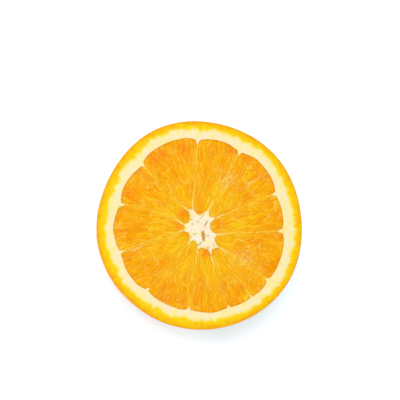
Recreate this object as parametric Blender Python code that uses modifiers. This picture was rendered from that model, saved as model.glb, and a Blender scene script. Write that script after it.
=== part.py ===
"""Orange half: a round sweet orange cut across its axis, lying on its dome with the cut face up.

The fruit's axis is +Z. The stem end of the dome stands on z = 0 and the cut face is the level top.
The fruit grew as one piece, so the whole half is one solid. Sizes are in metres.
Run it with: blender --background --python part.py
"""
import math

import bmesh
import bpy
from mathutils import Vector

# The whole half
CUT_RADIUS = 0.0380  # mean radius of the cut face
HEIGHT = 0.0371  # from the rest patch up to the cut face
REST_RADIUS = 0.0080  # shoulder round the stem button, which the fruit stands on
FULLNESS = 2.1  # exponent of the dome's profile: 2 is an ellipse, more is fuller

# The fruit isn't quite round: (waves round it, height as a share of the radius, direction of a crest)
LOBES = ((2, 0.0053, -88.0), (3, 0.0051, -35.0), (4, 0.0041, 30.0), (5, 0.0055, -28.5))

# The cut face
PEEL = 0.0063  # rind and pith together
MEMBRANE = 0.0006  # wall between two segments
FLESH_SINK = 0.0004  # flesh lies this far below the peel and the membranes
SEGMENT_SQUARENESS = 5.0  # a segment's corners: 2 is an ellipse, more is squarer

# The segments in turn, each with the membrane before it. A membrane runs from an arm of the
# star-shaped core out to the pith, and a segment's inner end lies between two arms.
# (direction of the membrane's outer end in degrees, its sideways bow,
#  the tip of the core's arm: x, y, the segment's inner end: x, y)
SEGMENTS = (
    (24.0, 0.0, 0.0067, 0.0029, 0.0038, 0.0034),
    (61.0, 0.0, 0.0036, 0.0060, 0.0001, 0.0044),
    (92.0, 0.0, -0.0026, 0.0062, -0.0033, 0.0060),
    (132.5, 0.0004, -0.0038, 0.0058, -0.0037, 0.0029),
    (165.5, -0.0018, -0.0060, 0.0004, -0.0057, -0.0011),
    (199.0, -0.0005, -0.0060, -0.0022, -0.0037, -0.0027),
    (230.8, 0.0, -0.0037, -0.0056, -0.0020, -0.0056),
    (262.5, 0.0, -0.0008, -0.0084, 0.0012, -0.0082),
    (290.0, 0.0, 0.0042, -0.0108, 0.0047, -0.0087),
    (305.5, 0.0, 0.0070, -0.0080, 0.0071, -0.0078),
    (321.2, 0.0, 0.0072, -0.0076, 0.0056, -0.0047),
    (356.2, 0.0, 0.0060, -0.0029, 0.0040, 0.0),
)
SHORT_SEGMENT = 9  # this one is a sliver that stops short of the core
SHORT_START = 0.17  # share of the way out at which it begins

# The slit in the core
SLIT_AT = Vector((0.0015, -0.0039, 0.0))
SLIT_LENGTH = 0.0034
SLIT_WIDTH = 0.0007
SLIT_DEPTH = 0.0025
SLIT_DIRECTION = 98.0  # degrees

# Mesh fineness
TURN_STEPS = 72
PROFILE_POINTS = 17
SEGMENT_POINTS = 40
SLIT_POINTS = 16
CUTTER_RISE = 0.001  # how far a cutter stands above the cut face
WELD = 0.00001


def direction(degrees):
    """Unit vector in the plane of the cut face."""
    return Vector((math.cos(math.radians(degrees)), math.sin(math.radians(degrees)), 0.0))


def lobe_factor(degrees):
    """How far the outline stands out at a direction, as a factor on the mean radius."""
    waves = (share * math.cos(math.radians(n * (degrees - crest))) for n, share, crest in LOBES)
    return 1.0 + sum(waves)


def dome_profile():
    """Half of the dome's outline, from the rim down its outer side to the rest patch."""
    rest_share = (REST_RADIUS / CUT_RADIUS) ** FULLNESS
    full_drop = HEIGHT / (1.0 - rest_share) ** (1.0 / FULLNESS)
    last_angle = math.acos((REST_RADIUS / CUT_RADIUS) ** (FULLNESS / 2.0))
    points = []
    for step in range(PROFILE_POINTS):
        angle = last_angle * step / (PROFILE_POINTS - 1)
        radius = CUT_RADIUS * math.cos(angle) ** (2.0 / FULLNESS)
        drop = full_drop * math.sin(angle) ** (2.0 / FULLNESS)
        points.append(Vector((radius, 0.0, HEIGHT - drop)))
    return points


def new_collection(name):
    collection = bpy.data.collections.new(name)
    bpy.context.scene.collection.children.link(collection)
    return collection


def new_object(name, data, collection):
    thing = bpy.data.objects.new(name, data)
    collection.objects.link(thing)
    return thing


def evaluated_mesh(thing):
    """A mesh of the object with its modifiers, or its curve, worked out."""
    depsgraph = bpy.context.evaluated_depsgraph_get()
    return bpy.data.meshes.new_from_object(thing.evaluated_get(depsgraph))


def turned_dome(collection):
    """The half as a turned solid: the profile, closed to the axis at both ends, run round +Z."""
    profile = [Vector((0.0, 0.0, HEIGHT))] + dome_profile() + [Vector((0.0, 0.0, 0.0))]
    edges = [(i, i + 1) for i in range(len(profile) - 1)]
    mesh = bpy.data.meshes.new("orange_half_profile")
    mesh.from_pydata(profile, edges, [])
    half = new_object("orange_half", mesh, collection)
    screw = half.modifiers.new("turn", "SCREW")
    screw.axis = "Z"
    screw.steps = TURN_STEPS
    screw.render_steps = TURN_STEPS
    screw.use_merge_vertices = True
    screw.merge_threshold = WELD
    return half


def grow_lobes(half):
    """Turns the round solid into the fruit's own slightly lobed form, centred on the axis."""
    mesh = evaluated_mesh(half)
    half.modifiers.clear()
    half.data = mesh
    for vertex in mesh.vertices:
        out = Vector((vertex.co.x, vertex.co.y, 0.0))
        degrees = math.degrees(math.atan2(out.y, out.x))
        fade = min(1.0, out.length / CUT_RADIUS)  # the lobes die away towards the stem end
        factor = 1.0 + (lobe_factor(degrees) - 1.0) * fade
        vertex.co.x *= factor
        vertex.co.y *= factor
    middle = middle_of(mesh)
    for vertex in mesh.vertices:
        vertex.co -= middle
    return middle


def middle_of(mesh):
    """Middle of the mesh's outline, seen from above."""
    across = [v.co.x for v in mesh.vertices]
    along = [v.co.y for v in mesh.vertices]
    return Vector(((min(across) + max(across)) / 2.0, (min(along) + max(along)) / 2.0, 0.0))


def arm_tip(number):
    """Where a membrane starts, at the tip of one of the core's arms."""
    return Vector((SEGMENTS[number][2], SEGMENTS[number][3], 0.0))


def inner_point(number, across):
    """A point of a segment's inner edge, a curve from arm tip to arm tip through its inner end."""
    first = arm_tip(number)
    second = arm_tip((number + 1) % len(SEGMENTS))
    through = Vector((SEGMENTS[number][4], SEGMENTS[number][5], 0.0))
    control = through * 2.0 - (first + second) / 2.0
    return first.lerp(control, across).lerp(control.lerp(second, across), across)


def outer_point(number, across):
    """A point of a segment's outer edge, along the inside of the peel."""
    first = SEGMENTS[number][0]
    second = SEGMENTS[(number + 1) % len(SEGMENTS)][0]
    if second < first:
        second += 360.0
    degrees = first + (second - first) * across
    return direction(degrees) * (CUT_RADIUS * lobe_factor(degrees) - PEEL)


def segment_point(number, across, along):
    """A point of a segment: across from 0 to 1 between its membranes, along from 0 at the core to 1."""
    if number == SHORT_SEGMENT:
        along = SHORT_START + (1.0 - SHORT_START) * along
    inner = inner_point(number, across)
    outer = outer_point(number, across)
    first_bow = SEGMENTS[number][1]
    second_bow = SEGMENTS[(number + 1) % len(SEGMENTS)][1]
    bow = first_bow + (second_bow - first_bow) * across
    outwards = (outer - inner).normalized()
    sideways = Vector((-outwards.y, outwards.x, 0.0))
    return inner.lerp(outer, along) + sideways * (bow * 4.0 * along * (1.0 - along))


def power(value, exponent):
    """A signed power, which squares off a circle's sine and cosine."""
    return math.copysign(abs(value) ** exponent, value)


def segment_outline(number):
    """A rounded wedge that leaves half a membrane on each side."""
    points = []
    for step in range(SEGMENT_POINTS):
        turn = 2.0 * math.pi * step / SEGMENT_POINTS
        across = power(math.cos(turn), 2.0 / SEGMENT_SQUARENESS) / 2.0
        along = 0.5 + power(math.sin(turn), 2.0 / SEGMENT_SQUARENESS) / 2.0
        width = (segment_point(number, 1.0, along) - segment_point(number, 0.0, along)).length
        across *= 1.0 - MEMBRANE / width
        points.append(segment_point(number, 0.5 + across, along))
    return points


def slit_outline():
    """A narrow ellipse."""
    long_way = direction(SLIT_DIRECTION) * SLIT_LENGTH / 2.0
    short_way = direction(SLIT_DIRECTION + 90.0) * SLIT_WIDTH / 2.0
    points = []
    for step in range(SLIT_POINTS):
        turn = 2.0 * math.pi * step / SLIT_POINTS
        points.append(SLIT_AT + long_way * math.cos(turn) + short_way * math.sin(turn))
    return points


def add_cutter(name, outline, depth, middle, collection):
    """A flat outline, extruded from above the cut face to a depth below it."""
    curve = bpy.data.curves.new(name, "CURVE")
    curve.dimensions = "2D"
    curve.fill_mode = "BOTH"
    curve.extrude = (depth + CUTTER_RISE) / 2.0
    spline = curve.splines.new("POLY")
    spline.points.add(len(outline) - 1)
    for point, place in zip(spline.points, outline):
        point.co = (*(place - middle), 1.0)
    spline.use_cyclic_u = True
    drawn = new_object(name, curve, collection)
    mesh = evaluated_mesh(drawn)
    bpy.data.objects.remove(drawn)
    weld_mesh(mesh)
    cutter = new_object(name, mesh, collection)
    cutter.location.z = HEIGHT + (CUTTER_RISE - depth) / 2.0
    cutter.hide_render = True
    cutter.display_type = "WIRE"


def weld_mesh(mesh):
    """Joins a filled curve's loose caps to its sides."""
    work = bmesh.new()
    work.from_mesh(mesh)
    bmesh.ops.remove_doubles(work, verts=work.verts, dist=WELD)
    bmesh.ops.recalc_face_normals(work, faces=work.faces)
    work.to_mesh(mesh)
    work.free()


def peel_material():
    """Glossy orange rind."""
    material = bpy.data.materials.new("peel")
    material.use_nodes = True
    shader = material.node_tree.nodes["Principled BSDF"]
    shader.inputs["Base Color"].default_value = (0.90, 0.32, 0.01, 1.0)
    shader.inputs["Roughness"].default_value = 0.38
    shader.inputs["Metallic"].default_value = 0.0
    return material


def build_orange_half():
    parts = new_collection("orange_half")
    cutters = new_collection("cutters")
    half = turned_dome(parts)
    middle = grow_lobes(half)
    for number in range(len(SEGMENTS)):
        add_cutter(f"segment_{number + 1}", segment_outline(number), FLESH_SINK, middle, cutters)
    add_cutter("core_slit", slit_outline(), SLIT_DEPTH, middle, cutters)
    cut = half.modifiers.new("flesh_and_slit", "BOOLEAN")
    cut.operation = "DIFFERENCE"
    cut.solver = "EXACT"
    cut.operand_type = "COLLECTION"
    cut.collection = cutters
    half.data.materials.append(peel_material())
    half.data.shade_smooth()
    half.data.set_sharp_from_angle(angle=math.radians(35.0))


for old in list(bpy.data.objects):
    bpy.data.objects.remove(old)
build_orange_half()
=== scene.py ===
"""Looks of the orange half: peel, core, membranes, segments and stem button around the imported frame.

Sizes are in metres. The fruit's axis is +Z, the cut face is the level top, and the dome stands on z = 0.
A point of the cut face is a complex number: x along its real part, y along its imaginary part.
"""
import math

import bpy
import numpy as np
from mathutils import Matrix, Vector


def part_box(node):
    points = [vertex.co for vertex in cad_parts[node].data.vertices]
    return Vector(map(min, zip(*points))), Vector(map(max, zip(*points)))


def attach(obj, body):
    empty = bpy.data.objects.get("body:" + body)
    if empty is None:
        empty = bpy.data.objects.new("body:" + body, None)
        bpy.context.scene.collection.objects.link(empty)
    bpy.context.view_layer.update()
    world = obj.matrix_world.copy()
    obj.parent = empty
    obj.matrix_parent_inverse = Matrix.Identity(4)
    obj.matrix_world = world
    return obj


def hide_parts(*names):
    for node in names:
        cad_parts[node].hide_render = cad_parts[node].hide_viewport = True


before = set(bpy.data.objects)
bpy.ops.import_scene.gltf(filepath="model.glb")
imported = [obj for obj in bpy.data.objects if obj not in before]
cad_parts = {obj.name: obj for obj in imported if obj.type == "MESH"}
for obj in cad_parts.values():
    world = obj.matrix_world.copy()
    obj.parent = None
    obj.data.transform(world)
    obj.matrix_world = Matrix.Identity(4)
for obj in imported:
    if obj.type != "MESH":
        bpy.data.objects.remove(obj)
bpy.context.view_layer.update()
box_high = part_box("orange_half")[1]

# -------- sizes of the fruit

CUT_RADIUS = 0.0380
HEIGHT = box_high.z
REST_RADIUS = 0.0080
FULLNESS = 2.1
LOBES = ((2, 0.0053, -88.0), (3, 0.0051, -35.0), (4, 0.0041, 30.0), (5, 0.0055, -28.5))
PEEL = 0.0061
FOOT_DEPTH = 0.0014  # how far the core and the membranes go down below the cut face
STAR_MIDDLE = complex(0.0, -0.0021)

# Each segment with the membrane before it: direction of the membrane's outer end in degrees, its
# sideways bow, the cusp of pith at its outer end, how clearly it shows near the core, halfway and near
# the peel, the tip of the core's arm where it starts, and points of the segment's inner end
SEGMENTS = (
    (23.2, 0.0, 0.0013, (0.9, 0.3, 0.8), 0.0056 + 0.0026j,
     (0.0039 + 0.0030j, 0.0032 + 0.0033j, 0.0031 + 0.0046j)),
    (61.8, 0.0, 0.0014, (0.8, 0.35, 0.7), 0.0030 + 0.0058j,
     (0.0015 + 0.0048j, 0.0006 + 0.0041j, -0.0005 + 0.0037j, -0.0014 + 0.0041j, -0.0023 + 0.0051j)),
    (92.0, 0.0, 0.0014, (0.9, 0.6, 1.0), -0.0029 + 0.0063j,
     (-0.0032 + 0.0058j, -0.0038 + 0.0055j, -0.0042 + 0.0058j)),
    (134.8, 0.0006, 0.0012, (1.0, 0.25, 0.6), -0.0048 + 0.0053j,
     (-0.0043 + 0.0042j, -0.0040 + 0.0030j, -0.0040 + 0.0019j, -0.0045 + 0.0008j, -0.0054 + 0.0004j)),
    (166.7, -0.0018, 0.0015, (0.7, 0.5, 1.0), -0.0065 + 0.0001j,
     (-0.0059 - 0.0008j, -0.0059 - 0.0016j)),
    (199.6, -0.0005, 0.0012, (0.9, 0.8, 0.7), -0.0066 - 0.0023j,
     (-0.0052 - 0.0027j, -0.0044 - 0.0031j, -0.0041 - 0.0039j, -0.0041 - 0.0050j)),
    (230.8, 0.0, 0.0010, (0.4, 0.2, 0.4), -0.0041 - 0.0066j,
     (-0.0033 - 0.0061j, -0.0025 - 0.0058j, -0.0017 - 0.0064j, -0.0013 - 0.0076j)),
    (262.0, 0.0, 0.0011, (0.8, 0.3, 0.6), -0.0012 - 0.0094j,
     (-0.0005 - 0.0087j, 0.0004 - 0.0084j, 0.0015 - 0.0086j, 0.0026 - 0.0091j, 0.0033 - 0.0102j)),
    (289.0, 0.0, 0.0007, (1.0, 0.2, 0.2), 0.0038 - 0.0116j,
     (0.0041 - 0.0103j, 0.0042 - 0.0094j, 0.0046 - 0.0088j, 0.0055 - 0.0085j)),
    (305.5, 0.0, 0.0004, (0.1, 0.1, 0.8), 0.0066 - 0.0083j,
     (0.0067 - 0.0082j,)),
    (321.2, 0.0, 0.0010, (1.0, 0.8, 0.8), 0.0070 - 0.0082j,
     (0.0062 - 0.0074j, 0.0056 - 0.0065j, 0.0052 - 0.0054j, 0.0054 - 0.0046j)),
    (356.5, 0.0, 0.0015, (1.0, 0.7, 0.8), 0.0065 - 0.0034j,
     (0.0051 - 0.0029j, 0.0040 - 0.0021j, 0.0035 - 0.0007j, 0.0037 + 0.0009j, 0.0045 + 0.0016j)),
)

SLIT_AT = complex(0.0010, -0.0042)
SLIT_LENGTH = 0.0048
SLIT_WIDTH = 0.0018
SLIT_DEPTH = 0.0008
SLIT_DIRECTION = 98.0

# -------- numbers and repeatable noise


def turn(degrees):
    """Unit vector of the cut face at an angle, as a complex number."""
    return np.exp(1j * np.radians(degrees))


def together(*values):
    """Values side by side, with a row for each point; a single number stands for all rows."""
    return np.stack(np.broadcast_arrays(*values), -1)


def wrapped(degrees):
    """An angle brought between -180 and 180 degrees."""
    return (degrees + 180.0) % 360.0 - 180.0


def smooth(low, high, value):
    """0 below low, 1 above high, with soft ends."""
    share = np.clip((value - low) / (high - low), 0.0, 1.0)
    return share * share * (3.0 - 2.0 * share)


def chance(seed, *cells):
    """A repeatable random number from 0 to 1 for each whole-number cell."""
    mixed = np.full(np.shape(cells[0]), seed * 7919 + 12345, dtype=np.int64)
    for cell, factor in zip(cells, (374761393, 668265263, 982451653)):
        mixed = (mixed + cell.astype(np.int64) * factor) & 0xFFFFFFFF
        mixed = ((mixed ^ (mixed >> 15)) * 1274126177) & 0xFFFFFFFF
    return ((mixed ^ (mixed >> 13)) & 0xFFFFFF) / float(0x1000000)


def noise(seed, *places):
    """Smooth noise from -1 to 1, with about one wave in two units."""
    floors = [np.floor(place) for place in places]
    shares = [place - floor for place, floor in zip(places, floors)]
    eased = [share * share * (3.0 - 2.0 * share) for share in shares]
    total = np.zeros(np.shape(places[0]))
    for corner in range(2 ** len(places)):
        steps = [(corner >> axis) & 1 for axis in range(len(places))]
        weight = 1.0
        for step, share in zip(steps, eased):
            weight = weight * (share if step else 1.0 - share)
        total += weight * chance(seed, *[floor + step for floor, step in zip(floors, steps)])
    return total * 2.0 - 1.0


def face_noise(seed, point, scale, shift=0.0):
    """Noise over the cut face, or over the directions round it."""
    return noise(seed, point.real * scale + shift, point.imag * scale + shift)


def rough_noise(seed, octaves, *places):
    """Noise with finer waves added, each half as strong as the one before."""
    total = np.zeros(np.shape(places[0]))
    for octave in range(octaves):
        scale = 2.0 ** octave
        total += noise(seed + octave, *[place * scale for place in places]) / scale
    return total


def cells(seed, *places):
    """Distances to the two nearest of scattered points, and the nearest one's random number."""
    floors = [np.floor(place) for place in places]
    nearest = np.full(np.shape(places[0]), 9.0)
    second = np.full(np.shape(places[0]), 9.0)
    own = np.zeros(np.shape(places[0]))
    for number in range(3 ** len(places)):
        steps = [(number // 3 ** axis) % 3 - 1 for axis in range(len(places))]
        cell = [floor + step for floor, step in zip(floors, steps)]
        squares = 0.0
        for axis, (place, corner) in enumerate(zip(places, cell)):
            centre = corner + 0.1 + 0.8 * chance(seed + 10 + axis, *cell)
            squares = squares + (place - centre) ** 2
        distance = np.sqrt(squares)
        closer = distance < nearest
        second = np.where(closer, nearest, np.minimum(second, distance))
        own = np.where(closer, chance(seed + 20, *cell), own)
        nearest = np.where(closer, distance, nearest)
    return nearest, second, own


# -------- shape of the cut face

CUSP_REACH = 0.0026  # how far a cusp spreads to each side before it has faded to a third
PEEL_WAVE = 0.00022  # unevenness of the pith's inner edge
WAVER = 0.00022  # of a membrane, sideways
# Where the pith's inner edge stands out or in: direction, how far out, and reach in degrees
EDGE_BULGES = (
    (19.0, -0.0003, 4.0), (50.0, 0.0004, 4.0), (66.0, -0.0004, 5.0), (95.0, 0.0002, 6.0),
    (139.0, -0.0003, 4.0), (157.0, 0.0003, 7.0), (183.0, 0.0004, 6.0), (205.0, -0.0004, 4.0),
    (224.0, 0.0003, 5.0), (278.0, 0.0003, 5.0), (335.0, -0.0003, 7.0), (353.0, 0.0003, 5.0),
)
# Waves of the peel's thickness, by how much thinner it is at their crests
THIN_PEEL = ((1, 0.00020, -70.0), (2, 0.00017, -72.0), (3, 0.00018, -43.0), (4, 0.0001, 43.0))


def waves(table, degrees):
    """Sum of waves round the fruit: how many, how high, and where one has its crest."""
    return sum(size * np.cos(np.radians(n * (degrees - crest))) for n, size, crest in table)


def bulges(table, degrees):
    """Sum of single bulges: direction, size and reach in degrees."""
    return sum(size * np.exp(-(wrapped(degrees - at) / reach) ** 2) for at, size, reach in table)


def outline_radius(degrees):
    """Distance from the axis to the skin, at the cut face."""
    return CUT_RADIUS * (1.0 + waves(LOBES, degrees))


def flesh_radius(degrees):
    """Distance from the axis to the inner edge of the pith, which has a cusp at each membrane."""
    around = turn(degrees)
    wave = face_noise(3, around, 5.0, 9.0)
    radius = outline_radius(degrees) - PEEL + wave * PEEL_WAVE
    radius = radius + waves(THIN_PEEL, degrees) + bulges(EDGE_BULGES, degrees)
    for at, _, cusp, _, _, _ in SEGMENTS:
        gap = np.abs(wrapped(degrees - at)) * math.radians(CUT_RADIUS - PEEL)
        radius = radius - cusp * np.exp(-gap / CUSP_REACH)
    return radius


def cut_middle():
    """Middle of the cut face's box, which the model is centred on."""
    rim = turn(np.arange(0.0, 360.0, 0.1)) * outline_radius(np.arange(0.0, 360.0, 0.1))
    return complex(rim.real.min() + rim.real.max(), rim.imag.min() + rim.imag.max()) / 2.0


MIDDLE = cut_middle()


def through_points(points, share):
    """A smooth line through points, at shares of the way along it from 0 to 1."""
    points = np.array(points)
    last = len(points) - 1
    padded = np.concatenate(([2.0 * points[0] - points[1]], points, [2.0 * points[-1] - points[-2]]))
    place = np.clip(share, 0.0, 1.0) * last
    start = np.minimum(np.floor(place), last - 1).astype(int)
    t = place - start
    a, b, c, d = (padded[start + step] for step in range(4))
    curve = (2.0 * a - 5.0 * b + 4.0 * c - d) * t ** 2
    return (2.0 * b + (c - a) * t + curve + (3.0 * (b - c) + d - a) * t ** 3) / 2.0


def arm_tip(number):
    """Tip of the core's arm that a membrane starts from."""
    return SEGMENTS[number % len(SEGMENTS)][4]


def inner_edge(number, across):
    """A segment's inner edge, from one arm tip of the core to the next."""
    return through_points([arm_tip(number), *SEGMENTS[number][5], arm_tip(number + 1)], across)


def sway(number, along):
    """How far a membrane strays sideways: its bow, and a small waver."""
    waver = WAVER * noise(31 + number, along * 7.0 + 0.5)
    return (SEGMENTS[number][1] * 4.0 * along + waver * smooth(0.0, 0.15, along)) * (1.0 - along)


def segment_point(number, across, along):
    """A point of a segment: across from 0 to 1 between its membranes, along from 0 at the core to 1."""
    following = (number + 1) % len(SEGMENTS)
    span = (SEGMENTS[following][0] - SEGMENTS[number][0]) % 360.0
    degrees = SEGMENTS[number][0] + span * across
    inner = inner_edge(number, across)
    outer = turn(degrees) * flesh_radius(degrees)
    sideways = 1j * (outer - inner) / np.abs(outer - inner)
    stray = sway(number, along) * (1.0 - across) + sway(following, along) * across
    return inner + (outer - inner) * along + sideways * stray


# -------- meshes


def new_object(name, data):
    made = bpy.data.objects.new(name, data)
    bpy.context.scene.collection.objects.link(made)
    return made


def make_piece(name, vertices, faces, attributes, slot, *materials):
    """A smooth mesh piece that rides on the fruit, with attributes that hold a value for each vertex."""
    mesh = bpy.data.meshes.new(name)
    shifted = np.array(vertices) - np.array((MIDDLE.real, MIDDLE.imag, 0.0))
    mesh.from_pydata(shifted.tolist(), [], faces)
    for attribute, values in attributes.items():
        values = np.asarray(values, dtype=np.float32)
        kind = "FLOAT_VECTOR" if values.ndim == 2 else "FLOAT"
        layer = mesh.attributes.new(attribute, kind, "POINT")
        layer.data.foreach_set("vector" if values.ndim == 2 else "value", values.ravel())
    mesh.shade_smooth()
    for material in materials:
        mesh.materials.append(material)
    piece = new_object(name, mesh)
    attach(piece, "root")
    return piece


def stitch(first, second):
    """Faces between two rings of vertex numbers; the second has as many as the first, half or twice."""
    if len(second) > len(first):
        return [face[::-1] for face in stitch(second, first)]
    step = len(first) // len(second)
    faces = []
    for place in range(len(second)):
        following = (place + 1) % len(second)
        outer = [first[(place * step + extra) % len(first)] for extra in range(step + 1)]
        faces.append([*outer, second[following], second[place]])
    return faces


def ring_solid(rings):
    """A closed surface through rings of points, with a last point at each end."""
    vertices = []
    numbers = []
    for ring in rings:
        numbers.append(list(range(len(vertices), len(vertices) + len(ring))))
        vertices.extend(ring)
    faces = []
    for first, second in zip(numbers[:-1], numbers[1:]):
        if len(first) == 1:
            count = len(second)
            faces += [(first[0], second[(k + 1) % count], second[k]) for k in range(count)]
        elif len(second) == 1:
            count = len(first)
            faces += [(first[k], first[(k + 1) % count], second[0]) for k in range(count)]
        else:
            faces += stitch(first, second)
    return vertices, faces


def grid_solid(grid, depth):
    """A closed piece under a grid of points: its border goes down to a depth, where a fan closes it."""
    rows, columns = grid.shape[:2]
    numbers = np.arange(rows * columns).reshape(rows, columns)
    quads = np.stack((numbers[:-1, :-1], numbers[:-1, 1:], numbers[1:, 1:], numbers[1:, :-1]), -1)
    faces = quads.reshape(-1, 4).tolist()
    border = [*numbers[0, :-1], *numbers[:-1, -1], *numbers[-1, :0:-1], *numbers[:0:-1, 0]]
    top = grid.reshape(-1, 3)
    low = top[border].copy()
    low[:, 2] = depth
    start = rows * columns
    count = len(border)
    for place in range(count):
        following = (place + 1) % count
        faces.append((border[following], border[place], start + place, start + following))
        faces.append((start + following, start + place, start + count))
    vertices = np.concatenate((top, low, low.mean(axis=0, keepdims=True)))
    return vertices, faces


def over_all(values, count):
    """Values of the first points, or of a grid's, then zeros for a piece's other points."""
    flat = np.asarray(values).reshape(-1, *np.shape(values)[2:])
    rest = np.zeros((count - len(flat), *flat.shape[1:]))
    return np.concatenate((flat, rest))


# -------- shader nodes

LIGHT_LEVEL = 1.25  # light on the cut face, where white would look white at 1


class Nodes:
    """Short ways to add and join a material's nodes."""

    def __init__(self, name):
        self.material = bpy.data.materials.new(name)
        self.material.use_nodes = True
        self.tree = self.material.node_tree
        self.shader = self.tree.nodes["Principled BSDF"]

    def put(self, socket, value):
        """Joins a socket to another one, or sets it."""
        if isinstance(value, bpy.types.NodeSocket):
            self.tree.links.new(value, socket)
        else:
            socket.default_value = value

    def add(self, kind, inputs=None, **settings):
        """A new node with these settings, and with values or sockets for its inputs."""
        made = self.tree.nodes.new("ShaderNode" + kind)
        for name, value in settings.items():
            setattr(made, name, value)
        for name, value in (inputs or {}).items():
            self.put(made.inputs[name], value)
        return made

    def attribute(self, name, output="Fac"):
        return self.add("Attribute", attribute_name=name).outputs[output]

    def place(self):
        """The point's own place in millimetres."""
        inputs = {0: self.add("TexCoord").outputs["Object"], "Scale": 1000.0}
        return self.add("VectorMath", inputs, operation="SCALE").outputs[0]

    def noise(self, vector, scale, detail=2.0, roughness=0.5):
        inputs = {"Vector": vector, "Scale": scale, "Detail": detail, "Roughness": roughness}
        return self.add("TexNoise", inputs).outputs["Fac"]

    def spots(self, vector, scale):
        """Distance to the nearest of scattered points, from 0 at a point to about 1."""
        return self.add("TexVoronoi", {"Vector": vector, "Scale": scale}).outputs["Distance"]

    def math(self, operation, first, second=0.0, clamp=False):
        return self.add("Math", {0: first, 1: second}, operation=operation, use_clamp=clamp).outputs[0]

    def times(self, first, second, clamp=False):
        return self.math("MULTIPLY", first, second, clamp)

    def plus(self, first, second, clamp=False):
        return self.math("ADD", first, second, clamp)

    def swing(self, factor, amount):
        """Noise from 0 to 1 turned into a change of up to half the amount, either way."""
        return self.times(self.math("SUBTRACT", factor, 0.5), amount)

    def between(self, value, low, high):
        """0 below low, 1 above high, with soft ends."""
        inputs = {"Value": value, "From Min": low, "From Max": high}
        return self.add("MapRange", inputs, interpolation_type="SMOOTHSTEP").outputs["Result"]

    def mix(self, factor, first, second):
        return self.add("Mix", {"Factor": factor, 6: first, 7: second}, data_type="RGBA").outputs[2]

    def tint(self, first, factor, colour):
        """Paints a colour over what is there, as far as the factor says."""
        return self.mix(factor, first, solid(colour))

    def ramp(self, factor, *stops):
        """A colour for each place from 0 to 1: stops are (place, colour)."""
        made = self.add("ValToRGB", {"Fac": factor})
        elements = made.color_ramp.elements
        while len(elements) < len(stops):
            elements.new(0.5)
        for element, (place, colour) in zip(elements, stops):
            element.position = place
            element.color = solid(colour)
        return made.outputs["Color"]

    def bump(self, height, distance):
        return self.add("Bump", {"Height": height, "Distance": distance}).outputs["Normal"]

    def finish(self, glow=None, **inputs):
        """Sets the shader's inputs, named with spaces as underscores; glow is how strongly light goes
        into the fruit, how far its red, green and blue spread as shares, and that distance."""
        if glow:
            inputs["Subsurface_Weight"], inputs["Subsurface_Radius"], inputs["Subsurface_Scale"] = glow
        for name, value in inputs.items():
            self.put(self.shader.inputs[name.replace("_", " ")], value)
        return self.material


def solid(colour):
    """The paint for a colour as it looks on the brightly lit cut face."""
    return (*[channel / LIGHT_LEVEL for channel in colour], 1.0)


# -------- peel

COLUMNS = 768
FEWEST_COLUMNS = 24
SKIN_STEP = 0.00034  # between rows of the dome
PROFILE_POINTS = 4000
RIM_ROUND = 0.00028
RIM_ROWS = 4
RING_SINK = 0.00003
SPONGE = 0.00004  # unevenness of the cut pith
GROOVE = 0.00007  # depth of the line between rind and pith
RING_ROWS = 22
BED_ROWS = 26
WALL_DEPTH = 0.0017  # from the cut face to the bed that the segments lie in
WALL_INSET = 0.0002
# Rows of the wall under the pith's inner edge: how far each stands in, and how deep it is
WALL_ROWS = ((0.00010, 0.00012), (0.00018, 0.0004), (0.00020, 0.0009), (WALL_INSET, WALL_DEPTH))
DIP_DEPTH = 0.0013  # of the hollow round the stem button
LARGE_PORE = 1.45  # millimetres between the skin's larger pores
LARGE_PORE_DEPTH = 0.00024
SMALL_PORE_DEPTH = 0.00012
SKIN_UNEVEN = 0.00012
PEEL_BED = np.array((2.0, 0.02, 0.01))  # what the bed's points hold as cut, depth and edge
RIND = 0.00276  # thickness of the coloured rind, before its lobes and scallops
# The rind's largest lobes and gaps: direction, how much thicker, and reach in degrees
RIND_LOBES = (
    (10.0, 0.0004, 4.0), (20.0, 0.0009, 4.0), (37.0, -0.0003, 8.0), (58.0, 0.0004, 4.0),
    (73.0, 0.0004, 5.0), (100.0, -0.0005, 8.0), (120.0, -0.0004, 3.0), (136.0, 0.0006, 4.0),
    (148.0, -0.0005, 4.0), (197.0, -0.0005, 9.0), (220.0, -0.0005, 4.0), (236.0, -0.0004, 3.0),
    (250.0, -0.0006, 4.0), (270.0, -0.0003, 6.0), (290.0, 0.0007, 5.0), (319.0, 0.0003, 5.0),
    (343.0, 0.0005, 4.0), (357.0, -0.0010, 4.0),
)
# Waves of its thickness, by how much thinner it is at their crests
THIN_RIND = ((1, 0.00030, 2.0), (2, 0.00012, -46.0), (3, 0.00011, -35.0), (4, 0.00012, 40.0))


def dome_profile():
    """Radius and height of evenly spaced rows, from the rim down to the shoulder that it rests on."""
    rest_share = (REST_RADIUS / CUT_RADIUS) ** FULLNESS
    full_drop = HEIGHT / (1.0 - rest_share) ** (1.0 / FULLNESS)
    last = math.acos((REST_RADIUS / CUT_RADIUS) ** (FULLNESS / 2.0))
    angle = np.linspace(0.0, last, PROFILE_POINTS)
    radius = CUT_RADIUS * np.cos(angle) ** (2.0 / FULLNESS)
    height = HEIGHT - full_drop * np.sin(angle) ** (2.0 / FULLNESS)
    length = np.concatenate(([0.0], np.cumsum(np.hypot(np.diff(radius), np.diff(height)))))
    rows = int(length[-1] / SKIN_STEP)
    even = np.linspace(0.0, length[-1], rows)
    return np.interp(even, length, radius), np.interp(even, length, height)


def ring_count(radius):
    """How many columns a ring has: fewer near the axis."""
    count = COLUMNS
    while count > FEWEST_COLUMNS and radius < 0.55 * CUT_RADIUS * count / COLUMNS:
        count //= 2
    return count


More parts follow.
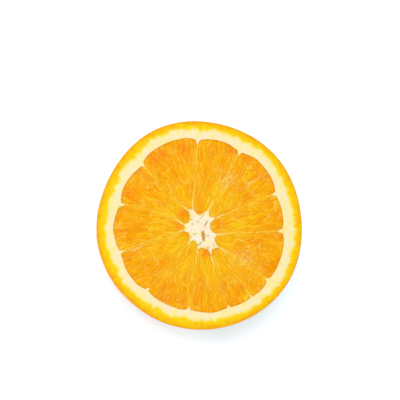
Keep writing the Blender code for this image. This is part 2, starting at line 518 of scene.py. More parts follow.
def flavedo_depth(degrees):
    """Thickness of the coloured rind on the cut face, scalloped by its oil glands."""
    around = turn(degrees)
    depth = RIND + 0.0002 * face_noise(40, around, 4.0, 5.0)
    depth = depth - waves(THIN_RIND, degrees) + bulges(RIND_LOBES, degrees)
    lumps = np.abs(face_noise(41, around, 9.0, 20.0))
    glands = np.abs(face_noise(42, around, 17.0, 30.0))
    small = face_noise(43, around, 42.0, 60.0)
    return depth + 0.0010 * (lumps - 0.3) + 0.0009 * (glands - 0.3) + 0.00020 * small


def skin_relief(x, y, z):
    """Depth of the skin's pores and unevenness, and how deep in a pore each point is from 0 to 1."""
    millimetres = [axis * 1000.0 for axis in (x, y, z)]
    warp = 0.35 * noise(50, *[axis * 0.8 for axis in millimetres])
    large, _, large_own = cells(51, *[axis / LARGE_PORE + warp for axis in millimetres])
    small, _, small_own = cells(52, *[axis + warp for axis in millimetres])
    large_pore = (1.0 - smooth(0.10, 0.60, large)) * (0.6 + 0.4 * large_own)
    small_pore = (1.0 - smooth(0.10, 0.55, small)) * (0.4 + 0.6 * small_own)
    uneven = rough_noise(53, 2, *[axis / 5.0 for axis in millimetres])
    relief = LARGE_PORE_DEPTH * large_pore + SMALL_PORE_DEPTH * small_pore + SKIN_UNEVEN * (1.0 - uneven)
    return relief, np.clip(large_pore + 0.5 * small_pore, 0.0, 1.0)


def peel_rings():
    """Radius and height of the skin's rings from the stem end up; the stem end's have no height yet."""
    radii, heights = dome_profile()
    shares = np.linspace(0.0, 1.0, int(REST_RADIUS / SKIN_STEP))
    rings = [(share * REST_RADIUS, None) for share in shares[:-1]]
    dome = zip(radii[::-1], heights[::-1])
    return rings + [(radius, height) for radius, height in dome if height < HEIGHT - RIM_ROUND]


def build_peel():
    """The skin from the stem end up the dome, the cut rind and pith, and the bed under the segments."""
    points = []
    kinds = []
    for radius, height in peel_rings():
        if radius == 0.0:
            points.append(np.array([[0.0, 0.0, DIP_DEPTH]]))
            kinds.append(np.zeros((1, 3)))
            continue
        count = ring_count(radius)
        degrees = np.arange(count) * 360.0 / count
        fade = min(1.0, radius / CUT_RADIUS)
        out = radius * (1.0 + (outline_radius(degrees) / CUT_RADIUS - 1.0) * fade)
        if height is None:
            share = radius / REST_RADIUS
            furrows = 1.0 + 0.25 * np.cos(np.radians(degrees * 11.0)) * math.sin(math.pi * share)
            level = DIP_DEPTH * (1.0 - share ** 2) ** 2 * furrows
        else:
            level = height
        point = turn(degrees) * out
        points.append(together(point.real, point.imag, level))
        kinds.append(np.zeros((count, 3)))
    dome_rings = len(points)
    degrees = np.arange(COLUMNS) * 360.0 / COLUMNS
    around = turn(degrees)
    outside = outline_radius(degrees)
    inside = flesh_radius(degrees)
    boundary = flavedo_depth(degrees)
    for step in range(RIM_ROWS):  # the cut edge, slightly rounded
        angle = math.radians(15.0 + 25.0 * step)
        out = outside - RIM_ROUND * (1.0 - math.cos(angle))
        point = around * out
        points.append(together(point.real, point.imag, HEIGHT - RIM_ROUND * (1.0 - math.sin(angle))))
        depth = outside - out
        kinds.append(together(step / (RIM_ROWS - 1.0), depth, depth - boundary))
    for step in range(1, RING_ROWS + 1):
        share = step / RING_ROWS
        out = (outside - RIM_ROUND) * (1.0 - share) + inside * share
        point = around * out
        spongy = rough_noise(60, 3, point.real * 900.0 + 90.0, point.imag * 900.0 + 90.0)
        depth = outside - out
        pith = smooth(-0.0001, 0.0004, depth - boundary)
        groove = GROOVE * np.exp(-((depth - boundary) / 0.0003) ** 2)
        level = HEIGHT - RING_SINK + spongy * SPONGE * (0.4 + pith) - groove
        points.append(together(point.real, point.imag, level))
        kinds.append(together(1.0, depth, depth - boundary))
    for inset, drop in WALL_ROWS:
        point = around * (inside - inset)
        points.append(together(point.real, point.imag, HEIGHT - drop))
        kinds.append(together(2.0, outside - inside, outside - inside - boundary))
    for share in np.linspace(0.97, 0.03, BED_ROWS):
        count = ring_count(share * CUT_RADIUS * 0.8)
        some = degrees[::COLUMNS // count]
        point = turn(some) * (flesh_radius(some) - WALL_INSET) * share
        points.append(together(point.real, point.imag, HEIGHT - WALL_DEPTH))
        kinds.append(np.tile(PEEL_BED, (count, 1)))
    points.append(np.array([[0.0, 0.0, HEIGHT - WALL_DEPTH]]))
    kinds.append(PEEL_BED[None])

    skin = np.concatenate(points[:dome_rings])
    relief, pore = skin_relief(skin[:, 0], skin[:, 1], skin[:, 2])
    inward = skin - np.array((0.0, 0.0, HEIGHT * 0.75))
    inward /= np.linalg.norm(inward, axis=1, keepdims=True)
    fade = smooth(0.0, 0.0012, HEIGHT - skin[:, 2])
    skin = skin - inward * (relief * (0.35 + 0.65 * fade))[:, None]
    skin[:, 2] = np.maximum(skin[:, 2], 0.0)
    vertices, faces = ring_solid([ring.tolist() for ring in points])
    vertices[:len(skin)] = skin.tolist()
    kind = np.concatenate(kinds)
    attributes = {
        "cut": kind[:, 0],
        "depth": kind[:, 1] * 1000.0,
        "edge": kind[:, 2] * 1000.0,
        # pore: how deep in a pore, which the skin's paint turns into painted shade
        "pore": over_all(pore, len(vertices)),
    }
    piece = make_piece("peel", vertices, faces, attributes, "peel", skin_material(), cut_peel_material())
    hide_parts("orange_half")
    cut = kind[:, 0] > 0.0
    slots = [int(cut[face[0]] or cut[face[-1]]) for face in faces]
    piece.data.polygons.foreach_set("material_index", slots)


SKIN_SPOTS = 0.9  # fine pores of the skin in a millimetre
PEEL_GLOW = (0.12, (1.0, 0.45, 0.2), 0.0006)  # as for finish


def skin_colour(n, place):
    """Bright orange, a little uneven, more golden between the pores, with painted shade in them."""
    shade = n.plus(0.5, n.swing(n.noise(place, 0.09, 2.0), 0.6))
    shade = n.plus(shade, n.swing(n.noise(place, 1.3, 3.0, 0.6), 0.6), clamp=True)
    skin = n.ramp(
        shade,
        (0.15, (1.10, 0.27, 0.001)),
        (0.5, (1.15, 0.35, 0.001)),
        (0.9, (1.18, 0.47, 0.003)),
    )
    # Painted shade: the fine pores are painted a darker, deeper orange.
    dots = n.times(n.between(n.spots(place, SKIN_SPOTS), 0.32, 0.08), 0.45)
    skin = n.tint(skin, dots, (1.00, 0.22, 0.001))
    # Painted shade: the pores of the mesh are painted a darker, deeper orange, more the deeper they are.
    return n.tint(skin, n.times(n.attribute("pore"), 0.75), (1.00, 0.21, 0.001))


def skin_material():
    """Glossy pored orange skin."""
    n = Nodes("orange_skin")
    place = n.place()
    fine = n.noise(place, 6.0, 2.0, 0.6)
    relief = n.plus(n.times(n.noise(place, 1.6, 3.0, 0.6), 0.6), n.times(fine, 0.4))
    relief = n.plus(relief, n.between(n.spots(place, SKIN_SPOTS), 0.04, 0.40))
    return n.finish(
        Base_Color=skin_colour(n, place),
        Roughness=n.plus(0.36, n.swing(fine, 0.12)),
        Normal=n.bump(relief, 0.00013),
        glow=PEEL_GLOW,
        Specular_IOR_Level=0.16,
    )


def cut_peel_material():
    """The peel's cut face: golden rind with oil glands, cream pith, and walls to the bed painted orange
    as painted shade.
    """
    n = Nodes("cut_peel")
    place = n.place()
    patch = n.noise(place, 0.5, 3.0, 0.6)
    speckle = n.noise(place, 1.6, 3.0, 0.6)
    depth = n.attribute("depth")
    edge = n.plus(n.attribute("edge"), n.swing(n.noise(place, 0.9, 3.0, 0.6), 1.2))
    gold = n.plus(n.math("DIVIDE", depth, 3.2), n.swing(patch, 1.4), clamp=True)
    rind = n.ramp(
        gold,
        (0.0, (0.89, 0.38, 0.001)),
        (0.2, (0.93, 0.47, 0.001)),
        (0.5, (0.96, 0.58, 0.001)),
        (0.9, (0.98, 0.68, 0.002)),
    )
    rind = n.tint(rind, n.between(depth, 0.50, 0.0), (0.88, 0.40, 0.001))
    rind = n.tint(rind, n.times(n.between(speckle, 0.54, 0.70), 0.7), (0.88, 0.43, 0.001))
    gland = n.times(n.between(n.spots(place, 0.55), 0.26, 0.10), n.between(patch, 0.48, 0.60))
    rind = n.tint(rind, n.times(gland, 0.6), (0.62, 0.46, 0.01))
    cream = n.ramp(
        patch,
        (0.3, (0.96, 0.81, 0.22)),
        (0.43, (0.97, 0.83, 0.38)),
        (0.58, (0.97, 0.83, 0.50)),
        (0.75, (0.98, 0.77, 0.54)),
    )
    cream = n.tint(cream, n.between(edge, 1.3, 0.25), (0.97, 0.80, 0.20))
    cream = n.tint(cream, n.times(n.between(speckle, 0.56, 0.74), 0.5), (0.96, 0.86, 0.60))
    face = n.mix(n.between(edge, -0.3, 0.5), rind, cream)
    gland = n.times(gland, n.between(edge, 1.2, 0.6))
    face = n.tint(face, n.times(gland, 0.35), (0.75, 0.62, 0.04))
    # Painted shade: the walls down to the bed are painted orange, so that the shaded line between pith
    # and flesh reads ochre, not grey.
    face = n.tint(face, n.between(n.attribute("cut"), 1.2, 1.9), (0.95, 0.50, 0.03))
    return n.finish(
        Base_Color=n.mix(n.between(n.attribute("cut"), 0.0, 0.5), skin_colour(n, place), face),
        Roughness=n.plus(0.5, n.swing(speckle, 0.2)),
        Normal=n.bump(speckle, 0.00006),
        glow=PEEL_GLOW,
        Specular_IOR_Level=0.06,
    )


# -------- core

CORE_SPOKES = 22  # for each segment
CORE_RINGS = 44
CORE_OVERLAP = 0.00012  # how far the core reaches in under the segments
CORE_ROLL = 0.00022  # how far its edge rolls down
CORE_LIFT = 0.00002
CORE_SPONGE = 0.00007
STROKE_DEPTH = 0.00026
# Hollow strokes in the core: where, length, width, direction in degrees and darkness
STROKES = (
    (0.0019 + 0.0003j, 0.0027, 0.00042, 56.0, 0.9),
    (0.0004 + 0.0029j, 0.0032, 0.00034, 45.0, 0.45),
    (-0.0033 + 0.0019j, 0.0010, 0.00045, 50.0, 0.6),
    (-0.0030 + 0.0002j, 0.0009, 0.00060, 80.0, 0.6),
    (-0.0012 + 0.0010j, 0.0013, 0.00045, 8.0, 0.5),
    (-0.0024 - 0.0033j, 0.0012, 0.00042, -5.0, 0.7),
    (-0.0035 - 0.0045j, 0.0014, 0.00040, 80.0, 0.6),
    (-0.0004 - 0.0070j, 0.0024, 0.00045, 44.0, 0.7),
    (0.0026 - 0.0040j, 0.0014, 0.00045, 10.0, 0.5),
    (0.0027 - 0.0084j, 0.0012, 0.00045, 95.0, 0.5),
    (0.0047 - 0.0072j, 0.0012, 0.00045, -50.0, 0.6),
)


def core_outline():
    """The star's outline: the inner edges of all the segments in turn."""
    across = np.arange(CORE_SPOKES) / CORE_SPOKES
    return np.concatenate([inner_edge(number, across) for number in range(len(SEGMENTS))])


def hollow(point, at, length, width, direction, crook):
    """1 in the middle of a long hollow, 0 outside it."""
    along = (point - at) / turn(direction)
    away = np.hypot(along.real / (length / 2.0), (along.imag + crook) / (width / 2.0))
    return 1.0 - smooth(0.4, 1.1, away)


def build_core():
    """The star-shaped core, with its slit and small hollows."""
    outline = core_outline()
    outward = outline - STAR_MIDDLE
    outline = outline + outward / np.abs(outward) * CORE_OVERLAP
    shares = np.linspace(0.0, 1.0, CORE_RINGS) ** 0.8
    points = []
    values = []
    for share in shares:
        line = STAR_MIDDLE + (outline - STAR_MIDDLE) * share
        if share == 0.0:
            line = line[:1]
        x, y = line.real * 1000.0 + 40.0, line.imag * 1000.0 + 40.0
        crook = 0.00020 * noise(70, x * 1.2, y * 1.2) + 0.00012 * noise(72, x * 3.1, y * 3.1)
        in_slit = hollow(line, SLIT_AT, SLIT_LENGTH, SLIT_WIDTH, SLIT_DIRECTION, crook * 1.8)
        in_pore = np.zeros(len(line))
        for at, length, width, towards, dark in STROKES:
            stroke = hollow(line, at, length * 1.3, width * 1.8, towards, crook)
            in_pore = np.maximum(in_pore, dark * stroke)
        spongy = rough_noise(71, 3, x * 1.3, y * 1.3)
        to_edge = (1.0 - share) * np.abs(outline - STAR_MIDDLE)[:len(line)]
        roll = CORE_ROLL * np.exp(-to_edge / 0.00018)
        level = HEIGHT + CORE_LIFT + CORE_SPONGE * spongy - roll
        level = level - SLIT_DEPTH * in_slit - STROKE_DEPTH * in_pore
        points.append(together(line.real, line.imag, level).tolist())
        values.append(together(in_slit, in_pore, share))
    for drop in (0.0006, FOOT_DEPTH):
        points.append(together(outline.real, outline.imag, HEIGHT - drop).tolist())
        values.append(np.tile((0.0, 0.0, 1.0), (len(outline), 1)))
    points.append([[STAR_MIDDLE.real, STAR_MIDDLE.imag, HEIGHT - FOOT_DEPTH]])
    values.append(np.array([[0.0, 0.0, 1.0]]))
    vertices, faces = ring_solid(points[::-1])
    value = np.concatenate(values[::-1])
    attributes = {"slit": value[:, 0], "pore": value[:, 1], "arm": value[:, 2]}
    make_piece("core", vertices, faces, attributes, "pith", core_material())


def core_material():
    """White spongy pith with greenish and pinkish tints, grey-green hollows and a golden-brown slit."""
    n = Nodes("core_pith")
    place = n.place()
    patch = n.noise(place, 0.45, 3.0, 0.6)
    fine = n.noise(place, 2.6, 3.0, 0.6)
    white = n.ramp(
        patch,
        (0.34, (0.90, 0.92, 0.36)),
        (0.44, (1.02, 0.90, 0.62)),
        (0.56, (1.04, 0.84, 0.72)),
        (0.68, (1.02, 0.80, 0.30)),
    )
    white = n.tint(white, n.times(n.between(fine, 0.52, 0.68), 0.8), (0.90, 0.72, 0.40))
    # Painted shade: yellow-orange towards the core's edge, whose rolled-down edge lies in shade, so that
    # this shade reads warm, not grey.
    white = n.tint(white, n.between(n.attribute("arm"), 0.80, 1.0), (0.97, 0.72, 0.22))
    pore = n.mix(n.between(patch, 0.4, 0.6), solid((0.50, 0.48, 0.20)), solid((0.52, 0.34, 0.16)))
    colour = n.mix(n.attribute("pore"), white, pore)
    slit = n.mix(n.between(fine, 0.38, 0.54), solid((0.40, 0.22, 0.04)), solid((0.90, 0.54, 0.11)))
    colour = n.mix(n.between(n.attribute("slit"), 0.1, 0.7), colour, slit)
    return n.finish(
        Base_Color=colour,
        Roughness=n.plus(0.5, n.swing(fine, 0.3)),
        Normal=n.bump(fine, 0.00012),
        glow=(0.15, (1.0, 0.7, 0.4), 0.0005),
        Specular_IOR_Level=0.05,
    )


# -------- membranes

MEMBRANE_ROWS = 110
MEMBRANE_WIDTH = 0.00052
MEMBRANE_RISE = 0.00012
MEMBRANE_TOP = 0.00002  # how far its top lies below the cut face
MEMBRANE_SINK = 0.00022  # and how much further where it doesn't show
MEMBRANE_FLARE = 0.62  # how much wider it is where it joins the pith, as a share of the cusp there
FLARE_REACH = 0.0005
# Its section from side to side, as shares of its width and rise; a rise of -1 goes down to its foot
MEMBRANE_PROFILE = (
    (-0.5, -1.0), (-0.5, -0.35), (-0.3, 0.0), (0.0, 0.12), (0.3, 0.0), (0.5, -0.35), (0.5, -1.0),
)


def build_membrane(number, material):
    """A thin wall from an arm of the core out to the pith, which sinks where it shows less."""
    along = np.linspace(-0.01, 1.02, MEMBRANE_ROWS)
    path = segment_point(number, 0.0, along)
    heading = np.gradient(path)
    heading = heading / np.abs(heading)
    showing = np.interp(along, (0.0, 0.45, 0.55, 1.0), [SEGMENTS[number][3][k] for k in (0, 1, 1, 2)])
    showing = np.clip(showing + 0.35 * noise(80 + number, along * 11.0 + 3.0), 0.0, 1.0)
    showing = np.maximum(showing, smooth(0.93, 1.0, along))
    distance = np.abs(path[-1] - path[0])
    to_peel = np.clip(1.0 - along, 0.0, 1.0) * distance
    flare = MEMBRANE_FLARE * SEGMENTS[number][2] * np.exp(-to_peel / FLARE_REACH)
    width = MEMBRANE_WIDTH * (0.6 + 0.5 * showing) + flare
    level = HEIGHT - MEMBRANE_TOP - MEMBRANE_SINK * (1.0 - showing)
    rows = []
    for sideways, lift in MEMBRANE_PROFILE:
        line = path + 1j * heading * width * sideways
        height = level + lift * MEMBRANE_RISE if lift > -1.0 else HEIGHT - FOOT_DEPTH
        rows.append(together(line.real, line.imag, height))
    sides = len(rows)
    vertices = np.stack(rows, axis=1).reshape(-1, 3)
    faces = []
    for here in range(0, (MEMBRANE_ROWS - 1) * sides, sides):
        there = here + sides
        for side in range(sides):
            following = (side + 1) % sides
            faces.append((here + side, there + side, there + following, here + following))
    faces.append(tuple(range(sides)))
    faces.append(tuple(range(len(vertices) - 1, len(vertices) - 1 - sides, -1)))
    repeated = np.repeat(along, sides)
    attributes = {
        "from_core": repeated * distance * 1000.0,
        "from_peel": (1.0 - repeated) * distance * 1000.0,
        "showing": np.repeat(showing, sides),
    }
    make_piece(f"membrane_{number + 1:02d}", vertices, faces, attributes, "pith", material)


def membrane_material():
    """Thin yellow-orange wall, creamier where it leaves the core and where it joins the pith."""
    n = Nodes("membrane")
    place = n.place()
    streak = n.noise(place, 1.2, 3.0, 0.6)
    colour = n.mix(n.between(streak, 0.35, 0.65), solid((0.97, 0.50, 0.01)), solid((0.98, 0.66, 0.06)))
    colour = n.tint(colour, n.between(n.attribute("from_core"), 5.5, 0.5), (0.98, 0.74, 0.20))
    colour = n.tint(colour, n.between(n.attribute("from_peel"), 1.6, 0.7), (0.98, 0.78, 0.28))
    colour = n.tint(colour, n.between(n.attribute("from_peel"), 0.9, 0.1), (0.99, 0.86, 0.47))
    colour = n.mix(n.between(n.attribute("showing"), 0.15, 0.65), solid((1.0, 0.46, 0.004)), colour)
    return n.finish(
        Base_Color=colour,
        Roughness=n.plus(0.38, n.swing(streak, 0.2)),
        Normal=n.bump(streak, 0.00004),
        glow=(0.15, (1.0, 0.5, 0.15), 0.0005),
        Specular_IOR_Level=0.05,
    )


# -------- segments

SEGMENT_ACROSS = 76
SEGMENT_ALONG = 116
FLESH_SINK = 0.00016
FLESH_FOOT = 0.0015  # how far a segment goes down below the cut face
SIDE_GAP = 0.00010  # between a segment and the middle of the membrane beside it
SAC_ANGLE = 2.5  # degrees that a juice sac takes, seen from the apex that the sacs point at
SAC_LENGTH = 0.0052
SAC_APEX = 0.0070  # how far that apex lies beyond the core
SAC_LEAN = 3.4  # how differently the sacs' fibres lean
SAC_BULGE = 0.00020
SAC_STEP = 0.00014  # how differently high the sacs stand
SIDE_DROP = 0.00014  # how far the flesh sinks towards its sides
END_DROP = 0.00030  # and towards its ends
FIBRE_BULGE = 0.00005
LOOSE_STRENGTH = 0.42  # how pale the loose fibres are
# Where pale strands beside a membrane are painted, with painted highlights on them, and their reach
GLINT_STRAND_PLACES = ((0.0100 + 0.0160j, 0.0026), (0.0158 - 0.0122j, 0.0030))
# Places where the flesh is a deeper orange, and their reach
DEEP_PLACES = (
    (-0.0063 + 0.0039j, 0.0022),
    (0.0072 + 0.0j, 0.0021),
    (-0.0078 - 0.0009j, 0.0016),
    (0.0015 - 0.0106j, 0.0020),
    (-0.0165 + 0.0250j, 0.0026),
    (0.0117 + 0.0272j, 0.0022),
    (0.0164 + 0.0250j, 0.0020),
    (-0.0262 + 0.0112j, 0.0032),
    (-0.0065 + 0.0275j, 0.0030),
)
# Loose pale fibres on the flesh: where, length, width and direction in degrees
LOOSE_FIBRES = (
    (0.0188 + 0.0160j, 0.0127, 0.0009, 36.0),
    (0.0218 - 0.0075j, 0.0036, 0.0008, 97.0),
    (-0.0233 + 0.0192j, 0.0034, 0.0009, 140.0),
    (-0.0236 - 0.0088j, 0.0095, 0.0009, 21.0),
)


def eased_steps(count):
    """Steps from 0 to 1, closer together at both ends."""
    even = np.linspace(0.0, 1.0, count)
    return 0.6 * even + 0.4 * (0.5 - 0.5 * np.cos(math.pi * even))


def juice_sacs(point, axis, number):
    """The juice sacs at points of a segment: how far each point is from its sac's wall, the sac's own
    random number, the tone and the relief of fine fibres along it, and the place that these follow."""
    apex = STAR_MIDDLE - turn(axis) * SAC_APEX
    away = point - apex
    distance = np.abs(away)
    angle = wrapped(np.degrees(np.angle(away)) - axis)
    x = point.real * 1000.0 + 50.0
    y = point.imag * 1000.0 + 50.0
    angle = angle + 1.3 * noise(90, x / 4.5, y / 4.5) + 0.2 * noise(91, x / 1.8, y / 1.8)
    length = distance / SAC_LENGTH + 0.25 * noise(92, x / 3.0, y / 3.0)
    near, second, own = cells(93 + number, angle / SAC_ANGLE + 40.0, length)
    around = angle / SAC_ANGLE + SAC_LEAN * ((own * 7.3) % 1.0 - 0.5) * (length - np.floor(length))
    _, _, tone = cells(113 + number, around / 0.45 + 40.0, length * 1.6)
    fibre = rough_noise(133 + number, 2, around / 0.35 + 60.0, length * 1.3)
    fibres_at = together(around * 1.1, length * 1.25, own * 3.0 + number)
    return second - near, own, tone, fibre, fibres_at


def build_segment(number, material):
    """One segment: a bulging cut face of juice sacs, and what its paint needs to know at each point."""
    across, along = np.meshgrid(eased_steps(SEGMENT_ACROSS), eased_steps(SEGMENT_ALONG))
    width = np.abs(segment_point(number, 1.0, along) - segment_point(number, 0.0, along))
    length = np.abs(segment_point(number, across, 1.0) - inner_edge(number, across))
    side_gap = np.minimum(SIDE_GAP / width, 0.2)
    inside = np.clip(across, side_gap, 1.0 - side_gap)
    point = segment_point(number, inside, along)
    to_side = np.minimum(inside, 1.0 - inside) * width
    to_outer = (1.0 - along) * length
    to_inner = along * length
    to_end = np.minimum(to_outer, to_inner)
    axis = np.degrees(np.angle(segment_point(number, 0.5, 0.8) - STAR_MIDDLE))
    wall, own, tone, fibre, fibres_at = juice_sacs(point, float(axis), number)
    bulge = smooth(0.0, 0.45, wall)
    level = HEIGHT - FLESH_SINK + SAC_BULGE * (bulge - 0.6) + SAC_STEP * (own - 0.5)
    edge_drop = SIDE_DROP * np.exp(-to_side / 0.00022)
    uneven = END_DROP + 0.00012 * face_noise(154 + number, point, 400.0)
    edge_drop = np.maximum(edge_drop, uneven * np.exp(-to_end / 0.00030))
    level = level + FIBRE_BULGE * fibre - edge_drop
    # colour: 0 is the deepest orange, 1 the palest yellow
    inner_share = np.abs(point - STAR_MIDDLE) / (CUT_RADIUS - PEEL)
    shade = 0.47 + 0.34 * (own - 0.5) + 0.26 * (tone - 0.5) + 0.10 * fibre
    shade = shade + 0.32 * (1.0 - smooth(0.15, 0.75, inner_share)) - 0.06 * smooth(0.5, 0.7, inner_share)
    frayed = smooth(-0.1, 0.7, face_noise(153 + number, point, 260.0, 5.0))
    shade = shade + 0.30 * np.exp(-to_side / 0.0008) * frayed
    strand = noise(155 + number, to_side / 0.00030 + along * 5.0 + 3.0, along * 13.0 + 4.0)
    strand = 1.0 - smooth(0.10, 0.35, np.abs(strand))
    # Painted highlights: pale strands painted at these places beside the membranes, standing in for
    # glints.
    strands_and_glints = sum(np.exp(-(np.abs(point - at) / reach) ** 2) for at, reach in GLINT_STRAND_PLACES)
    fibres_and_glints = strand * strands_and_glints
    strand = strand * np.exp(-to_side / 0.0011)
    crook = 0.00035 * face_noise(156, point, 500.0)
    for at, fibre_length, fibre_width, towards in LOOSE_FIBRES:
        loose = hollow(point, at, fibre_length, fibre_width, towards, crook)
        fibres_and_glints = np.maximum(fibres_and_glints, LOOSE_STRENGTH * loose)
    deep = sum(np.exp(-(np.abs(point - at) / reach) ** 2) for at, reach in DEEP_PLACES)
    shade = shade + 0.14 * face_noise(150, point, 220.0, 9.0)
    deep_end = 0.34 * np.exp(-to_outer / 0.0020) + 0.46 * np.exp(-to_inner / 0.0020)
    shade = shade - deep_end * (0.4 + 1.2 * face_noise(151, point, 300.0, 7.0))
    patchy = smooth(-0.2, 0.5, face_noise(152, point, 500.0))
    walls = np.maximum((1.0 - smooth(0.04, 0.20, wall)) * patchy, strand * (0.5 + 0.5 * frayed))
    # Painted shade: rim is a thin darker line painted along the segment's ends, where it meets the pith
    # and the core.
    rim = np.exp(-to_end / 0.00022)
    vertices, faces = grid_solid(together(point.real, point.imag, level), HEIGHT - FLESH_FOOT)
    looks = {"shade": shade, "walls": walls, "rim": rim, "strands_and_glints": fibres_and_glints, "deep": deep}
    looks["fibres_at"] = fibres_at
    attributes = {look: over_all(values, len(vertices)) for look, values in looks.items()}
    make_piece(f"segment_{number + 1:02d}", vertices, faces, attributes, "flesh", material)


def flesh_material():
    """Wet orange flesh: sacs of uneven tone, pale walls between them and fine fibres along them, painted
    shade along the segment's ends, and painted highlights on pale strands beside the membranes.
    """
    n = Nodes("orange_flesh")
    place = n.place()
    fibres_at = n.attribute("fibres_at", "Vector")
    fine = n.noise(fibres_at, 3.2, 3.0, 0.6)
    coarse = n.noise(fibres_at, 1.1, 2.0, 0.5)
    tone = n.plus(n.attribute("shade"), n.swing(fine, 0.5))
    tone = n.plus(tone, n.swing(n.noise(place, 1.8, 2.0, 0.6), 0.5))
    tone = n.plus(tone, n.swing(coarse, 0.3), clamp=True)
    colour = n.ramp(
        tone,
        (0.0, (0.93, 0.27, 0.001)),
        (0.25, (0.95, 0.345, 0.001)),
        (0.48, (0.98, 0.425, 0.001)),
        (0.72, (1.0, 0.51, 0.002)),
        (1.0, (1.0, 0.67, 0.015)),
    )
    specks = n.between(n.noise(place, 2.6, 2.0, 0.6), 0.48, 0.30)
    dark = n.times(n.between(fine, 0.49, 0.33), 0.62)
    dark = n.plus(dark, n.times(specks, 0.6), clamp=True)
    colour = n.tint(colour, dark, (0.78, 0.34, 0.001))
    deep = n.times(n.attribute("deep"), n.between(n.noise(place, 0.9, 2.0, 0.6), 0.30, 0.50))
    colour = n.tint(colour, n.times(deep, 0.85, clamp=True), (0.96, 0.23, 0.001))
    pale = n.times(n.attribute("walls"), n.between(fine, 0.3, 0.6))
    colour = n.tint(colour, n.times(pale, 0.80), (0.97, 0.64, 0.08))
    thread = n.math("ABSOLUTE", n.math("SUBTRACT", n.noise(fibres_at, 1.7, 1.0), 0.5))
    here = n.between(n.noise(fibres_at, 0.7, 1.0), 0.48, 0.60)
    thread = n.times(n.between(thread, 0.022, 0.004), here)
    colour = n.tint(colour, n.times(thread, 0.8), (0.97, 0.66, 0.10))
    # Painted highlights on pale strands beside the membranes, together with the loose pale fibres.
    strands_and_glints = n.times(n.attribute("strands_and_glints"), n.between(fine, 0.36, 0.54))
    colour = n.tint(colour, strands_and_glints, (1.0, 0.76, 0.30))
    # Painted shade: darker ochre along the segment's ends, where the flesh meets the pith and the core.
    colour = n.tint(colour, n.times(n.attribute("rim"), 0.55), (0.70, 0.34, 0.003))
    return n.finish(
        Base_Color=colour,
        Roughness=n.plus(0.28, n.swing(fine, 0.16)),
        Normal=n.bump(fine, 0.00005),
        glow=(0.12, (1.0, 0.45, 0.1), 0.0006),
        Specular_IOR_Level=0.03,
    )


# -------- stem button

BUTTON_RADIUS = 0.0026
BUTTON_THICKNESS = 0.0007
BUTTON_SEAT = 0.0004  # how far it reaches up into the skin of the dip
BUTTON_SIDES = 80


def build_stem_button():
    """The dry green-grey calyx remnant in the dip at the stem end, with five blunt lobes."""
    degrees = np.arange(BUTTON_SIDES) * 360.0 / BUTTON_SIDES
    lobed = 1.0 + 0.14 * np.cos(np.radians(degrees * 5.0)) + 0.05 * noise(160, degrees / 20.0)
    base = DIP_DEPTH + BUTTON_SEAT
    rings = [[[0.0, 0.0, base - BUTTON_THICKNESS * 0.7]]]
    for share in np.linspace(0.1, 1.0, 12):
        out = turn(degrees) * BUTTON_RADIUS * share * (1.0 + (lobed - 1.0) * share)
        hollow_ring = 0.35 * math.exp(-((share - 0.35) / 0.12) ** 2)
        crown = BUTTON_THICKNESS * (0.7 - hollow_ring - 0.4 * share ** 4)
        level = base - crown - 0.00008 * face_noise(161, out, 2500.0)
        rings.append(together(out.real, out.imag, level).tolist())
    edge = turn(degrees) * BUTTON_RADIUS * lobed
    rings.append(together(edge.real, edge.imag, base).tolist())
    rings.append([[0.0, 0.0, base]])
    vertices, faces = ring_solid(rings)
    n = Nodes("dry_calyx")
    mottle = n.noise(n.place(), 1.4, 4.0, 0.6)
    colour = n.ramp(
        mottle,
        (0.3, (0.10, 0.11, 0.03)),
        (0.55, (0.22, 0.22, 0.08)),
        (0.75, (0.36, 0.28, 0.12)),
    )
    material = n.finish(Base_Color=colour, Roughness=0.8, Normal=n.bump(mottle, 0.0002))
    make_piece("stem_button", vertices, faces, {}, "peel", material)


# -------- floor, light and camera

VIEW_TILT = 11.0  # degrees that the cut face is turned away from the camera
VIEW_FROM = 220.0  # direction that the camera is displaced to
VIEW_DISTANCE = 0.60
SENSOR = 36.0
VIEW_WIDTH = 0.1453  # what the picture spans at the cut face
AIM_RIGHT = -0.0003  # from the face's centre to the middle of the picture
AIM_UP = 0.0090
FLOOR_REACH = 3.0
FLOOR_GLOW = (0.22, 0.82, 1.0, 1.0)  # takes the fruit's orange tint out of the shadow round it
FLOOR_GLOW_STRENGTH = 0.30
SKY_COLOUR = (0.97, 0.98, 1.0, 1.0)
SKY_STRENGTH = 0.84
# Lamps: name, place, height that it points at, side and power
LAMPS = (
    ("key", (-0.16, 0.11, 1.07), HEIGHT, 0.30, 4.35),
    ("side", (-0.75, 0.27, 0.55), HEIGHT / 2.0, 0.2, 1.6),
)


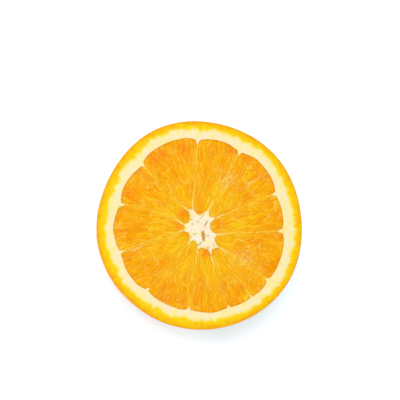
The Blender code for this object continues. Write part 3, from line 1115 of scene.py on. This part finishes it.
def floor_material():
    """Matt white, with a faint glow in a ring round the fruit."""
    n = Nodes("white_floor")
    grain = n.noise(n.place(), 0.02, 3.0)
    colour = n.mix(grain, (0.90, 0.90, 0.91, 1.0), (0.92, 0.92, 0.92, 1.0))
    away = n.add("VectorMath", {0: n.place()}, operation="LENGTH").outputs["Value"]  # in millimetres
    ring = n.times(n.between(away, 22.0, 38.0), n.between(away, 110.0, 60.0))
    return n.finish(
        Base_Color=colour,
        Roughness=0.9,
        Specular_IOR_Level=0.1,
        Emission_Color=FLOOR_GLOW,
        Emission_Strength=n.times(ring, FLOOR_GLOW_STRENGTH),
    )


def build_floor():
    mesh = bpy.data.meshes.new("floor")
    corners = [(FLOOR_REACH * x, FLOOR_REACH * y, 0.0) for x, y in ((-1, -1), (1, -1), (1, 1), (-1, 1))]
    mesh.from_pydata(corners, [], [(0, 1, 2, 3)])
    floor = new_object("floor", mesh)
    mesh.materials.append(floor_material())


def build_light():
    world = bpy.data.worlds.new("studio")
    world.use_nodes = True
    background = world.node_tree.nodes["Background"]
    background.inputs["Color"].default_value = SKY_COLOUR
    background.inputs["Strength"].default_value = SKY_STRENGTH
    bpy.context.scene.world = world
    for name, place, target, side, power in LAMPS:
        data = bpy.data.lights.new(name, "AREA")
        data.shape = "SQUARE"
        data.size = side
        data.energy = power
        lamp = new_object(name, data)
        lamp.location = place
        aim = Vector((0.0, 0.0, target)) - Vector(place)
        lamp.rotation_euler = aim.to_track_quat("-Z", "Y").to_euler()


def build_camera():
    face = Vector((-MIDDLE.real, -MIDDLE.imag, HEIGHT))
    tilt = math.radians(VIEW_TILT)
    sideways = turn(VIEW_FROM) * math.sin(tilt)
    back = Vector((sideways.real, sideways.imag, math.cos(tilt)))
    right = Vector((0.0, 1.0, 0.0)).cross(back).normalized()
    up = back.cross(right)
    data = bpy.data.cameras.new("camera")
    data.sensor_width = SENSOR
    data.lens = SENSOR * VIEW_DISTANCE / VIEW_WIDTH
    camera = new_object("camera", data)
    camera.location = face + right * AIM_RIGHT + up * AIM_UP + back * VIEW_DISTANCE
    camera.rotation_euler = Matrix((right, up, back)).transposed().to_euler()
    bpy.context.scene.camera = camera


build_camera()
build_peel()
build_core()
membrane_look = membrane_material()
flesh_look = flesh_material()
for segment_number in range(len(SEGMENTS)):
    build_membrane(segment_number, membrane_look)
    build_segment(segment_number, flesh_look)
build_stem_button()
build_floor()
build_light()
bpy.context.scene.view_settings.view_transform = "Standard"
